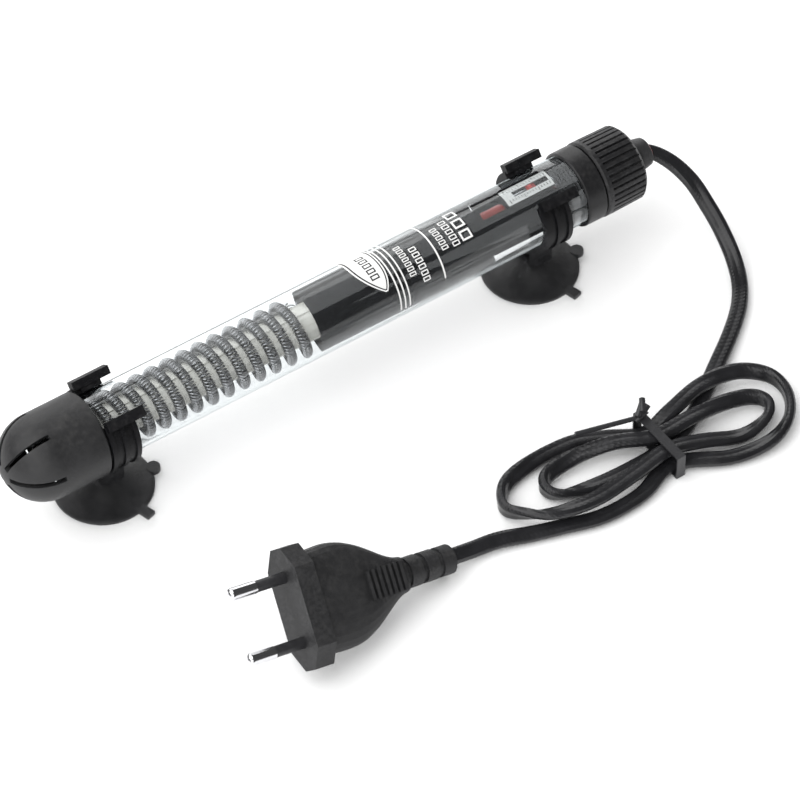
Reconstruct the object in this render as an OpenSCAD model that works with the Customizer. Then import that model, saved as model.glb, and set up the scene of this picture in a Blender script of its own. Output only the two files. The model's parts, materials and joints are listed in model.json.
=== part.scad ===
// Submersible aquarium heater: glass tube, coil, thermostat, knob, clips, cord and plug.
// Origin: centre of the tip suction cup's rim. +X runs along the tube to the knob, +Z up
// from the cup rims to the tube. Millimetres.

/* [Glass tube] */
// Outside diameter of the glass tube
tube_od = 22; // [21.8:0.1:22.2]
// Thickness of the glass
tube_wall = 1.2; // [1.1:0.05:1.25]
// Height of the tube's axis above the suction cup rims
axis_z = 26; // [26:0.5:28]

/* [End cap] */
// Outside radius of the end cap
cap_r = 13.2; // [13.1:0.1:13.5]
// Number of water slots in the cap's nose
cap_slots = 6; // [4:1:8]
// Width of each water slot
cap_slot_w = 1.6; // [1.2:0.1:1.8]

/* [Heating element] */
// Turns of the heating coil on its ceramic former
coil_turns = 13.5; // [11.5:1:14.5]
// Radius of the coiled wire bundle
coil_wire_r = 1.8; // [1.5:0.05:1.8]

/* [Clips and cups] */
// Distance between the two clips
clip_gap = 152; // [148:1:153]
// Width of a clip's band along the tube
clip_w = 9.4; // [9:0.1:9.4]
// Radius of a suction cup's rim
cup_r = 15; // [14.5:0.1:15.5]

/* [Knob] */
// Largest radius of the knob
knob_r = 12.2; // [12.1:0.05:12.4]
// Number of grip ridges around the knob
knob_ridges = 36; // [30:2:44]
// Turn of the knob each way from the middle of its scale, in degrees; sets the card's slot
knob_turn = 150; // [120:10:160]

/* [Plug and cord] */
// Distance between the two plug pins
pin_pitch = 19; // [18.9:0.1:19.1]
// Radius of a plug pin's bare tip
pin_r = 2; // [1.95:0.05:2]
// Width of the flat twin cord
cord_w = 5.4; // [5.2:0.1:5.4]
// Thickness of the flat twin cord
cord_t = 3.2; // [3:0.1:3.2]

/* [Hidden] */
$fn = 64;

// Fits
gap = 0.03;
run_gap = 0.05;
eps = 0.01;

// Glass tube
tube_r = tube_od / 2;
bore_r = tube_r - tube_wall;
tube_tip_x = -13;
tube_end_x = 168;

// End cap
cap_rim_x = -3.8;
cap_nose_x = -19.4;
cap_wall = 1.6;
cap_hub_r = 3;
cap_slot_end_x = -19.2;
cap_slot_angle = 10;

// Heating element
former_x0 = -8.4;
former_x1 = 73.6;
former_core_r = 4.9;
former_bore_r = 1.2;
former_ribs = 6;
former_rib_w = 1.6;
disc_t = 1.4;
coil_r = 7.25;
coil_x0 = -4.5;
coil_x1 = 68.2;
coil_steps = 20;
coil_sides = 6;
lead_r = 0.6;
lead_clear = 0.15;
lead_depth = 1.5;
lead_turn = 1.2;
feed_in = 5;

// Liner and thermostat
liner_x0 = 70.2;
liner_x1 = 131;
liner_r = 9.1;
liner_wall = 0.5;
frame_x0 = 80;
frame_x1 = 157;
frame_w = 9.6;
frame_wall = 0.8;
frame_z0 = -2.4;
frame_z1 = 2.6;
root_x = 90;
root_gap = 2.2;
shelf_x0 = 123.6;
bearing_l = 3;
bearing_w = 4.8;
bearing_top = 2.2;
rail_y = 1.7;
rail_w = 1;
shield_x0 = 131.3;
shield_r = 9.6;
shield_t = 0.7;
shield_a0 = 198.5;
shield_a1 = 256;
shield_foot_y = 9;
strip_len = 32;
strip_w = 5;
strip_t = 0.6;
strip_z = 0.6;
strip_eye_r = 1;
pivot_r = 0.4;
contact_r = 1.1;
contact_t = 0.6;
contact_x = root_x + strip_len - 3;
bracket_w = 4.8;
magnet_l = 4;
magnet_w = 4.4;
magnet_lap = 0.4;
spindle_r = 1.5;
spindle_off = 6.75;
spindle_x0 = 141;
spindle_flange_r = 2;
spindle_flange_t = 0.5;
nut_len = 3;
nut_w = 4.6;
nut_x = 151;
tongue_w = 2.2;
blade_w = 1.4;
blade_t = 1.2;
pointer_lead = 0.0332;
lamp_r = 1.7;
lamp_x0 = 132.5;
lamp_len = 8;
lamp_y = 0.8;
lamp_z = 4.6;
resistor_x0 = 124;
resistor_l = 6;
resistor_r = 1.1;
card_x0 = 141.5;
card_x1 = 158;
card_r = bore_r - 0.15;
card_t = 0.35;
card_slot_w = 2;
card_angle = 35;

wire_in = 14;
wire_r = 0.55;
wire_y = 3.1;
wire_z = -0.4;

// Head
collar_x0 = 164.9;
collar_x1 = 171.9;
collar_r = 12;
stem_r = 3.75;
stem_bore_r = 2.8;
stem_x1 = 190.6;
stopper_x0 = 158.5;
stopper_ribs = 6;
knob_x0 = 172.2;
knob_x1 = 186.9;
knob_end_r = 12;
knob_valley_r = 11.3;
knob_hub_r = 5.4;
knob_hub_x0 = 179.6;
knob_floor_x = 183.6;
ring_groove_r = 3.2;
ring_x0 = 187.05;
ring_t = 0.9;
ring_out_r = 4.9;

// Gears: an internal ring in the knob turns a pinion on the spindle
gear_m = 0.45;
ring_teeth = 40;
pinion_teeth = 10;
pressure = 20;
backlash = 0.12;
gear_x0 = 174.2;
gear_x1 = 178.2;
pinion_x0 = 174.5;
pinion_x1 = 177.9;

// Cord boot at the knob
boot_x0 = 188.2;
boot_x1 = 194.2;
boot_r0 = 5.2;
boot_r1 = 4.5;
boot_bore_r = 3.6;

// Clips
clip_in_r = tube_r + run_gap;
clip_out_r = 12.7;
clip_ridge_r = 13.35;
clip_ridge_w = 1.5;
clip_opening = 84;
band_shift = 1.2;
tee_len = 12.4;
tee_shift = 2.9;
tee_w = 3.2;
tee_t = 2.6;
tee_y = 9.6;
tee_z = 10.4;
arm_w = 4.6;
arm_t = 2.4;
arm_l = 2.7;
arm_lean = 40;
foot_l = 7.2;
foot_w = 12.4;
foot_wall = 1.7;
foot_z = 7.6;
foot_t = 1.9;
neck_r = 2.45;
button_r = 3.5;
button_h = 2.1;

// Cups
cup_lip = 0.8;
cup_body_r = 4.6;
cup_hollow_h = 2.6;
cup_body_h = 2.2;
cup_curve = 1.7;
cup_steps = 8;
tab_angle = -74;
round_tab_angle = -11;
tab_r = 2.1;
tab_t = 1.5;

// Plug: its own frame has +X out along the pins, +Y across them, +Z out of its broad face
plug_at = [11, -82.8, 18.6];
plug_turn = [-42, -14.5, 180];
pin_len = 19;
pin_bare = 9;
pin_core_r = 1.3;
pin_root = 11;
sleeve_r = 1.7;
flange_l = 6.5;
flange_w = 35.4;
flange_t = 14.6;
flange_tip = 2.6;
flange_cut = 6;
bell_end = -37.5;
bell_w = 30;
bell_t = 13.4;
neck_w = 10.6;
neck_t = 9.6;
plug_boot_end = -55;
plug_cord_bore_r = 3.1;
grip_ribs = 7;
boot_rings = 3;

// Cord: [x, y, z, roll] stops along its centreline, roll 0 lying flat, 90 standing on edge
cord_steps = 7;
cord_stops = [
    [158, 0, axis_z, 0], [176, 0, axis_z, 0], [189, 0, axis_z, 0], [194.6, -0.4, axis_z - 0.1, 0],
    // from the head down to the ground
    [199.2, -5.6, axis_z - 2.6, 12], [202.2, -12.5, 19.2, 25], [203.6, -19.2, 13.6, 35],
    [204, -26, 8.6, 30], [202.5, -34.5, 4.4, 15], [199, -42.5, 2.1, 0],
    // under the hank to the near side
    [193, -50, 1.8, 0], [184, -57.5, 1.8, 0], [174, -64.5, 1.8, 0], [164, -71.5, 1.8, 0],
    [152, -79, 1.9, 0], [140, -82.8, 2.3, 0], [126, -83, 1.9, 0], [114.4, -82, 2.05, 10],
    // small loop at the left
    [105.8, -79.8, 2.75, 60], [103.4, -75.6, 2.95, 90], [107.2, -71.8, 2.85, 60],
    [117.6, -71.2, 3.6, 10], [129, -75, 6.1, 0], [140, -79.8, 6.1, 0],
    // inner loop at the right
    [153, -79.6, 5.9, 0], [165, -79.6, 4.6, 20], [173.5, -81.6, 3.6, 60],
    [176.8, -85.8, 2.9, 90], [172.6, -90.2, 2.85, 60], [163, -91.2, 2.2, 10],
    [151, -87.8, 4.4, 0], [140, -86, 6.1, 0],
    // outer loop at the left, over the way out
    [127, -87.6, 5.8, 0], [112, -89, 5.6, 0], [99.4, -87, 5.7, 20],
    [92.2, -81.2, 4.7, 70], [89.4, -75, 3.1, 90], [94.5, -68.2, 2.8, 60],
    [105.6, -64.8, 2, 10], [120, -64.9, 1.8, 0], [130, -69, 1.9, 0], [140, -74.6, 2.3, 0],
    // outer loop at the right
    [150, -73.6, 4.9, 0], [163, -70.8, 5.4, 0], [175, -72, 5, 30], [183, -77.6, 3.6, 75],
    [184, -85.6, 2.9, 90], [178.6, -93.6, 2.8, 70], [169, -97.6, 2.25, 20],
    [156, -96, 1.8, 0], [140, -88.6, 2.3, 0],
    // out to the plug
    [126, -92.6, 1.8, 0], [112, -93, 1.8, 0], [100, -89.6, 1.8, 0], [90, -86.4, 1.9, -10],
    [81, -83.6, 2.5, -25], [72.4, -82.5, 2.9, -40], [64, -82.5, 4.9, -42], [50, -82.6, 8.53, -42]];

// Tie around the hank
tie_x = 140;
tie_w = 3;
tie_t = 0.5;
tie_y0 = -92;
tie_y1 = -71.2;
tie_z0 = 0.55;
tie_z1 = 8.1;

// ---------- helpers ----------

// Children drawn with their axis up are laid along the tube's axis, height becoming x
module along_tube() {
    translate([0, 0, axis_z])
    rotate([0, 90, 0])
    children();
}

// Solid of revolution about the tube's axis from [radius, x] points
module turned(points) {
    along_tube() rotate_extrude() polygon(points);
}

// Round bar about a line parallel to the tube, at [y, z] from the tube's axis
module tube_rod(x0, x1, r, at = [0, 0]) {
    translate([x0, at[0], axis_z + at[1]])
    rotate([0, 90, 0])
    cylinder(h = x1 - x0, r = r);
}

// Box from corner to corner, z measured from the tube's axis
module tube_box(low, high) {
    translate([low[0], low[1], axis_z + low[2]])
    cube(high - low);
}

// Points of an arc about [0, x] in a [radius, x] profile
function arc(r, x, a0, a1, n) =
    [for (i = [0:n])
        let (a = a0 + (a1 - a0) * i / n)
        [r * cos(a), x + r * sin(a)]];

// Involute gear outline; a positive thin takes that much off each tooth
function inv_deg(a) = tan(a) * 180 / PI - a;
function tooth_half(r, n, rp, thin) =
    let (rb = rp * cos(pressure))
    90 / n - thin / 2 / rp * 180 / PI + inv_deg(pressure) - (r > rb ? inv_deg(acos(rb / r)) : 0);
function gear_points(n, r_root, r_tip, thin, steps = 4) =
    let (rp = gear_m * n / 2)
    [for (k = [0:n - 1], side = [-1, 1], i = [0:steps])
        let (f = side < 0 ? i / steps : 1 - i / steps)
        let (r = r_root + (r_tip - r_root) * f)
        let (a = 360 * k / n + side * tooth_half(r, n, rp, thin))
        [r * cos(a), r * sin(a)]];

// Catmull-Rom point between stops 1 and 2
function spline(a, b, c, d, t) =
    0.5 * ((2 * b) + (c - a) * t + (2 * a - 5 * b + 4 * c - d) * t * t
           + (3 * b - a - 3 * c + d) * t * t * t);
function clamp_at(list, i) = list[max(0, min(len(list) - 1, i))];
function spline_path(stops, steps) =
    [for (i = [0:len(stops) - 2], k = [0:steps - 1])
        spline(clamp_at(stops, i - 1), stops[i], stops[i + 1], clamp_at(stops, i + 2), k / steps),
     stops[len(stops) - 1]];

// Closed tube through rings of points
module skin(rings) {
    n = len(rings[0]);
    last = len(rings) - 1;
    points = [for (ring = rings) each ring];
    sides = [for (i = [0:last - 1], j = [0:n - 1])
        let (k = (j + 1) % n)
        each [[i * n + j, (i + 1) * n + k, i * n + k], [i * n + j, (i + 1) * n + j, (i + 1) * n + k]]];
    first_end = [[for (j = [0:n - 1]) j]];
    last_end = [[for (j = [n - 1:-1:0]) last * n + j]];
    polyhedron(points, concat(sides, first_end, last_end), convexity = 10);
}

// ---------- tube and heating element ----------

module end_cap() {
    color("#3a3a3c")
    difference() {
        turned(concat([[tube_r + gap, cap_rim_x], [cap_r - 0.6, cap_rim_x], [cap_r, cap_rim_x - 0.6]],
                      arc(cap_r, cap_nose_x, 0, -90, 12),
                      arc(cap_r - cap_wall, cap_nose_x, -90, 0, 12),
                      [[tube_r + gap, cap_nose_x]]));
        for (k = [0:cap_slots - 1])
            along_tube()
            rotate(-90 - cap_slot_angle - 360 * k / cap_slots)
            translate([cap_hub_r, -cap_slot_w / 2, cap_nose_x - cap_r - 1])
            cube([cap_r, cap_slot_w, cap_slot_end_x - cap_nose_x + cap_r + 1]);
    }
}

module glass_tube() {
    color("#dfe6e8", 0.35)
    turned(concat([[tube_r, tube_end_x]],
                  arc(tube_r, tube_tip_x, 0, -90, 12),
                  arc(bore_r, tube_tip_x, -90, 0, 12),
                  [[bore_r, tube_end_x]]));
}

module ceramic_former() {
    rib_r = (coil_r - coil_wire_r) * cos(180 / coil_steps) - gap;
    color("#e9e5da")
    difference() {
        union() {
            tube_rod(former_x0, former_x1, former_core_r);
            for (k = [0:former_ribs - 1])
                translate([0, 0, axis_z])
                rotate([360 * k / former_ribs, 0, 0])
                translate([former_x0, -former_rib_w / 2, 0])
                cube([former_x1 - former_x0, former_rib_w, rib_r]);
        }
        tube_rod(former_x0 - 1, former_x1 + 1, former_bore_r);
    }
}

// Heat-proof disc with a middle hole for the return lead and a hole beside the coil's end
module former_disc(x, r, side_y) {
    difference() {
        tube_rod(x, x + disc_t, r);
        tube_rod(x - 1, x + disc_t + 1, lead_r + lead_clear);
        tube_rod(x - 1, x + disc_t + 1, lead_r + lead_clear, [side_y, 0]);
    }
}

module former_discs() {
    color("#cdbf9c") {
        former_disc(former_x0 - disc_t - gap, bore_r - gap, -coil_r);
        former_disc(former_x1 + gap, liner_r - liner_wall - gap, coil_r);
    }
}

module heating_coil() {
    steps = ceil(coil_turns * coil_steps);
    pitch_x = (coil_x1 - coil_x0) / steps;
    lean = atan2(coil_x1 - coil_x0, 2 * PI * coil_r * coil_turns);
    rings = [for (i = [0:steps])
        let (a = 180 + 360 * coil_turns * i / steps)
        [for (j = [0:coil_sides - 1])
            let (b = 360 * j / coil_sides)
            let (r = coil_r + coil_wire_r * cos(b))
            let (s = coil_wire_r * sin(b))
            [coil_x0 + pitch_x * i + s * cos(lean),
             r * cos(a) + s * sin(lean) * sin(a),
             axis_z + r * sin(a) - s * sin(lean) * cos(a)]]];
    color("#8d8f92") skin(rings);
}

// Wire from the tip end of the coil, back through the middle of the former
module return_lead() {
    x0 = former_x0 - disc_t - lead_turn;
    color("#b9bcc0") {
        tube_rod(x0, frame_x0 + lead_depth, lead_r);
        translate([x0, 0, axis_z])
        rotate([90, 0, 0])
        cylinder(h = coil_r, r = lead_r);
        tube_rod(x0, coil_x0 - coil_wire_r - 0.1, lead_r, [-coil_r, 0]);
        translate([x0, 0, axis_z]) sphere(lead_r);
        translate([x0, -coil_r, axis_z]) sphere(lead_r);
    }
}

// Wire from the head end of the coil into the side of the thermostat's frame
module feed_lead() {
    color("#b9bcc0") {
        tube_rod(coil_x1 + coil_wire_r + 0.1, frame_x0 + feed_in, lead_r, [coil_r, 0]);
        translate([frame_x0 + feed_in, coil_r, axis_z]) sphere(lead_r);
        lead_cross_rod(frame_w / 2 - lead_depth, coil_r, lead_r);
    }
}

// ---------- thermostat ----------

module liner_sleeve() {
    color("#1d1d1f")
    difference() {
        tube_rod(liner_x0, liner_x1, liner_r);
        tube_rod(liner_x0 - 1, liner_x1 + 1, liner_r - liner_wall);
    }
}

module thermostat_frame() {
    half = frame_w / 2;
    color("#222224")
    difference() {
        union() {
            tube_box([frame_x0, -half, frame_z0], [frame_x1, half, frame_z0 + frame_wall]);
            for (side = [-1, 1])
                tube_box([frame_x0, min(side * half, side * (half - frame_wall)), frame_z0],
                         [frame_x1, max(side * half, side * (half - frame_wall)), frame_z1]);
            // solid block that holds the leads, in front of the strip's root
            tube_box([frame_x0, -half, frame_z0], [root_x - root_gap, half, frame_z1]);
            // shelf under the resistor and the lamp
            tube_box([shelf_x0, -half, frame_z1 - frame_wall], [spindle_x0 + 1, half, frame_z1]);
            shield();
            // bearing block for the spindle, then guide rails for the pointer
            tube_box([spindle_x0, -bearing_w / 2, frame_z0],
                     [spindle_x0 + bearing_l, bearing_w / 2, spindle_off + bearing_top]);
            for (side = [-1, 1])
                tube_box([spindle_x0 + bearing_l - 0.1, side * rail_y - rail_w / 2, frame_z0],
                         [frame_x1, side * rail_y + rail_w / 2, frame_z1]);
        }
        tube_rod(spindle_x0 + 1, frame_x1, spindle_r + run_gap, [0, spindle_off]);
        tube_rod(frame_x0 - 1, frame_x0 + lead_depth + 0.1, lead_r + lead_clear);
        lead_cross_rod(half - lead_depth - 0.1, frame_w, lead_r + lead_clear);
        strip_cross_rod(2 * frame_w, pivot_r + gap);
    }
}

// Curved shield along one side of the thermostat, on a ledge of the frame's wall
module shield() {
    along_tube()
    translate([0, 0, shield_x0])
    rotate_extrude(angle = shield_a1 - shield_a0, start = shield_a0)
    translate([shield_r - shield_t, 0])
    square([shield_t, frame_x1 - shield_x0]);
    tube_box([shield_x0, -shield_foot_y, frame_z1 - frame_wall],
             [frame_x1, frame_wall - frame_w / 2, frame_z1]);
}

// Round bar across the tube where the feed lead enters the frame's side
module lead_cross_rod(y0, y1, r) {
    translate([frame_x0 + feed_in, y1, axis_z])
    rotate([90, 0, 0])
    cylinder(h = y1 - y0, r = r);
}

// Round bar across the frame at the strip's root
module strip_cross_rod(len, r) {
    translate([root_x, len / 2, axis_z + strip_z + strip_t / 2])
    rotate([90, 0, 0])
    cylinder(h = len, r = r);
}

module bimetal_strip() {
    color("#a58a5c")
    difference() {
        union() {
            tube_box([root_x, -strip_w / 2, strip_z], [root_x + strip_len, strip_w / 2, strip_z + strip_t]);
            strip_cross_rod(strip_w, strip_eye_r);
        }
        strip_cross_rod(2 * strip_w, pivot_r + run_gap);
    }
}

// Pin through the frame's walls that the strip swings on
module strip_pivot_pin() {
    color("#b9bcc0") strip_cross_rod(frame_w, pivot_r);
}

// Silver contact under the strip's free end
module moving_contact() {
    color("#c9ccd0")
    translate([contact_x, 0, axis_z + strip_z - contact_t - gap])
    cylinder(h = contact_t, r = contact_r);
}

module contact_bracket() {
    color("#c79a4a")
    tube_box([contact_x - 4, -bracket_w / 2, frame_z0 + frame_wall + gap],
             [contact_x + 2, bracket_w / 2, contact_base() - gap]);
}

// Underside of the fixed contact, from the tube's axis
function contact_base() = strip_z - 2 * contact_t - 4 * gap;

module fixed_contact() {
    color("#c9ccd0")
    translate([contact_x, 0, axis_z + contact_base()])
    cylinder(h = contact_t, r = contact_r);
}

module snap_magnet() {
    color("#4a4a4e")
    tube_box([root_x + strip_len - magnet_lap, -magnet_w / 2, frame_z0 + frame_wall + gap],
             [root_x + strip_len - magnet_lap + magnet_l, magnet_w / 2, strip_z - 0.35]);
}

// Spindle from the thermostat out through the head, turned by the knob
module adjusting_spindle() {
    color("#a9adb2") {
        tube_rod(spindle_x0 + 1.2, pinion_x1 - 0.2, spindle_r, [0, spindle_off]);
        tube_rod(stopper_x0 - 0.4 - spindle_flange_t, stopper_x0 - 0.4, spindle_flange_r, [0, spindle_off]);
    }
}

module spindle_pinion() {
    rp = gear_m * pinion_teeth / 2;
    color("#d8d4c8")
    difference() {
        translate([0, 0, spindle_off])
        along_tube()
        translate([0, 0, pinion_x0])
        linear_extrude(pinion_x1 - pinion_x0)
        polygon(gear_points(pinion_teeth, rp - 1.05 * gear_m, rp + 0.8 * gear_m, backlash));
        tube_rod(pinion_x0 - 1, pinion_x1 - 0.2 + gap, spindle_r, [0, spindle_off]);
    }
}

// Nut on the spindle that carries the red pointer along the scale
module temperature_pointer() {
    color("#c8281e")
    difference() {
        union() {
            // nut, then the tongue that the rails guide, then the blade in the card's slot
            tube_box([nut_x - nut_len / 2, -nut_w / 2, frame_z1 + 0.2],
                     [nut_x + nut_len / 2, nut_w / 2, spindle_off + 2]);
            tube_box([nut_x - nut_len / 2, -tongue_w / 2, frame_z0 + frame_wall + 0.2],
                     [nut_x + nut_len / 2, tongue_w / 2, frame_z1 + 0.3]);
            tube_box([nut_x - blade_t / 2, -blade_w / 2, spindle_off],
                     [nut_x + blade_t / 2, blade_w / 2, card_r - 0.05]);
        }
        tube_rod(nut_x - nut_len, nut_x + nut_len, spindle_r + run_gap, [0, spindle_off]);
    }
}

module indicator_lamp() {
    color("#e2603c", 0.6)
    translate([0, lamp_y, axis_z + lamp_z])
    rotate([0, 90, 0])
    rotate_extrude()
    polygon(concat([[0, lamp_x0]],
                   [[lamp_r, lamp_x0]],
                   arc(lamp_r, lamp_x0 + lamp_len - lamp_r, 0, 90, 8)));
}

module lamp_resistor() {
    color("#c9b48a")
    tube_rod(resistor_x0, resistor_x0 + resistor_l, resistor_r, [lamp_y, frame_z1 + resistor_r + 0.2]);
}

// Curved card inside the glass with a slot for the pointer
module scale_card() {
    travel = knob_turn * pointer_lead + blade_t / 2 + 0.6;
    color("#e8e8e4")
    difference() {
        along_tube()
        translate([0, 0, card_x0])
        rotate_extrude(angle = card_angle, start = 180 - card_angle / 2)
        translate([card_r - card_t, 0])
        square([card_t, card_x1 - card_x0]);
        tube_box([nut_x - travel, -card_slot_w / 2, card_r - 2],
                 [nut_x + travel, card_slot_w / 2, card_r + 1]);
    }
}

module supply_wires() {
    color("#b04a32")
    for (side = [-1, 1])
        tube_rod(frame_x1 - wire_in, cord_stops[0][0] - 0.2, wire_r, [side * wire_y, wire_z]);
}

// ---------- head ----------

module tube_stopper() {
    rib_pitch = 1.15;
    rib_w = 0.55;
    color("#2a2a2c")
    difference() {
        union() {
            tube_rod(stopper_x0, tube_end_x, bore_r - 0.5);
            for (k = [0:stopper_ribs - 1])
                tube_rod(stopper_x0 + k * rib_pitch, stopper_x0 + k * rib_pitch + rib_w, bore_r - gap);
        }
        tube_rod(stopper_x0 - 1, tube_end_x + 1, stem_bore_r);
        tube_rod(stopper_x0 - 1, tube_end_x + 1, spindle_r + run_gap, [0, spindle_off]);
    }
}

module head_cap() {
    color("#38383a")
    difference() {
        turned([[0, tube_end_x + gap], [tube_r + gap, tube_end_x + gap], [tube_r + gap, collar_x0],
                [collar_r - 0.5, collar_x0], [collar_r, collar_x0 + 0.5], [collar_r, collar_x1 - 0.5],
                [collar_r - 0.5, collar_x1], [stem_r, collar_x1], [stem_r, ring_x0 - gap],
                [ring_groove_r, ring_x0 - gap], [ring_groove_r, ring_x0 + ring_t + gap],
                [stem_r, ring_x0 + ring_t + gap], [stem_r, stem_x1], [0, stem_x1]]);
        tube_rod(tube_end_x - 1, stem_x1 + 1, stem_bore_r);
        tube_rod(tube_end_x - 1, collar_x1 + 1, spindle_r + run_gap, [0, spindle_off]);
        tube_rod(collar_x1 - 1.3, collar_x1 + 1, 2.6, [0, spindle_off]);
    }
}

module spindle_o_ring() {
    ring_r = 0.5;
    color("#1a1a1a")
    translate([collar_x1 - 0.7, 0, axis_z + spindle_off])
    rotate([0, 90, 0])
    rotate_extrude()
    translate([spindle_r + run_gap + ring_r, 0])
    circle(ring_r);
}

module knob() {
    rp = gear_m * ring_teeth / 2;
    ridge_top = knob_r + 0.4;
    outline = [for (k = [0:knob_ridges - 1], c = [[0, 1], [0.5, 1], [0.66, 0], [0.84, 0]])
        let (r = knob_valley_r + (ridge_top - knob_valley_r) * c[1])
        let (a = 360 * (k + c[0]) / knob_ridges)
        [r * cos(a), r * sin(a)]];
    color("#343436")
    difference() {
        intersection() {
            turned([[0, knob_x0], [knob_r - 0.6, knob_x0], [knob_r, knob_x0 + 0.6], [knob_r, knob_x0 + 2.4],
                    [knob_end_r, knob_x1 - 1.2], [knob_end_r - 1.2, knob_x1], [0, knob_x1]]);
            union() {
                tube_rod(knob_x0 - 1, knob_x0 + 1.8, knob_r + 1);
                along_tube() translate([0, 0, knob_x0]) linear_extrude(knob_x1 - knob_x0) polygon(outline);
            }
        }
        // hollow for the gear, leaving a hub that runs on the stem
        tube_rod(knob_x0 - 1, gear_x0, rp + 1.6 * gear_m);
        along_tube()
        translate([0, 0, gear_x0 - eps])
        linear_extrude(gear_x1 - gear_x0)
        polygon(gear_points(ring_teeth, rp - 0.7 * gear_m, rp + 1.1 * gear_m, -backlash));
        difference() {
            tube_rod(gear_x1 - 2 * eps, knob_floor_x, rp - 1.3 * gear_m);
            tube_rod(knob_hub_x0, knob_floor_x + 1, knob_hub_r);
        }
        tube_rod(knob_x0 - 1, knob_x1 + 1, stem_r + run_gap);
    }
}

// Split ring in the stem's groove that holds the knob on
module knob_retaining_ring() {
    color("#9a9da1")
    along_tube()
    translate([0, 0, ring_x0])
    rotate_extrude(angle = 320, start = 20)
    translate([ring_groove_r + gap, 0])
    square([ring_out_r - ring_groove_r - gap, ring_t]);
}

module cord_boot() {
    color("#2b2b2d")
    difference() {
        turned([[0, boot_x0], [boot_r0, boot_x0], [boot_r0, boot_x0 + 2], [boot_r1, boot_x1 - 0.4],
                [boot_r1 - 0.4, boot_x1], [0, boot_x1]]);
        tube_rod(boot_x0 - 1, stem_x1 + gap, stem_r + gap);
        tube_rod(boot_x0 - 1, boot_x1 + 1, boot_bore_r);
    }
}

// ---------- cord ----------

// Section of a flat twin cord: two round cores joined by a narrower web
function cord_section() =
    let (r = cord_t / 2, c = cord_w / 2 - cord_t / 2, web = 0.8 * r)
    concat([for (a = [-75, -25, 25, 75]) [c + r * cos(a), r * sin(a)]],
           [[0.05, web]],
           [for (a = [105, 155, 205, 255]) [-c + r * cos(a), r * sin(a)]],
           [[-0.05, -web]]);

function unit(v) = v / norm(v);

module power_cord() {
    path = spline_path(cord_stops, cord_steps);
    last = len(path) - 1;
    flat = cord_section();
    rings = [for (i = [0:last])
        let (p = path[i], q = path[max(i - 1, 0)], n = path[min(i + 1, last)])
        let (along = unit([n[0] - q[0], n[1] - q[1], n[2] - q[2]]))
        let (side = unit(cross([0, 0, 1], along)))
        let (up = cross(along, side))
        let (w = side * cos(p[3]) + up * sin(p[3]))
        let (h = up * cos(p[3]) - side * sin(p[3]))
        [for (c = flat) [p[0], p[1], p[2]] + w * c[0] + h * c[1]]];
    color("#2e2e30") skin(rings);
}

// Plastic-covered wire around the hank, twisted on top, with one long tail
module cord_tie() {
    mid_y = (tie_y0 + tie_y1) / 2;
    span_y = tie_y1 - tie_y0;
    color("#2c2c2e") {
        difference() {
            translate([tie_x - tie_w / 2, tie_y0 - tie_t, tie_z0 - tie_t])
            cube([tie_w, span_y + 2 * tie_t, tie_z1 - tie_z0 + 2 * tie_t]);
            translate([tie_x - tie_w, tie_y0, tie_z0])
            cube([2 * tie_w, span_y, tie_z1 - tie_z0]);
        }
        // twisted knot
        for (k = [0:3])
            translate([tie_x + 1.2 * (k % 2) - 0.6, tie_y1 - 2.2 + 0.4 * k, tie_z1 + tie_t + 0.9 + 0.9 * k])
            rotate([20 * k, 60, 40 * k])
            cylinder(h = 4.4, r = 0.95, center = true);
        // tail
        translate([tie_x - 1, tie_y1 - 2.2, tie_z1 + tie_t + 0.6])
        rotate([0, -92, -17])
        cylinder(h = 20, r = 0.75);
    }
}

// ---------- plug ----------

module at_plug() {
    translate(plug_at)
    rotate(plug_turn)
    children();
}

module plug_rod(x0, x1, r, y = 0) {
    translate([x0, y, 0])
    rotate([0, 90, 0])
    cylinder(h = x1 - x0, r = r);
}

// Rounded section of the bell at x, half sizes w and t
function bell_ring(x, w, t, n = 28) =
    [for (j = [0:n - 1])
        let (a = 360 * j / n, c = cos(a), s = sin(a))
        [x, w * sign(c) * pow(abs(c), 0.72), t * sign(s) * pow(abs(s), 0.62)]];

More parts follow.
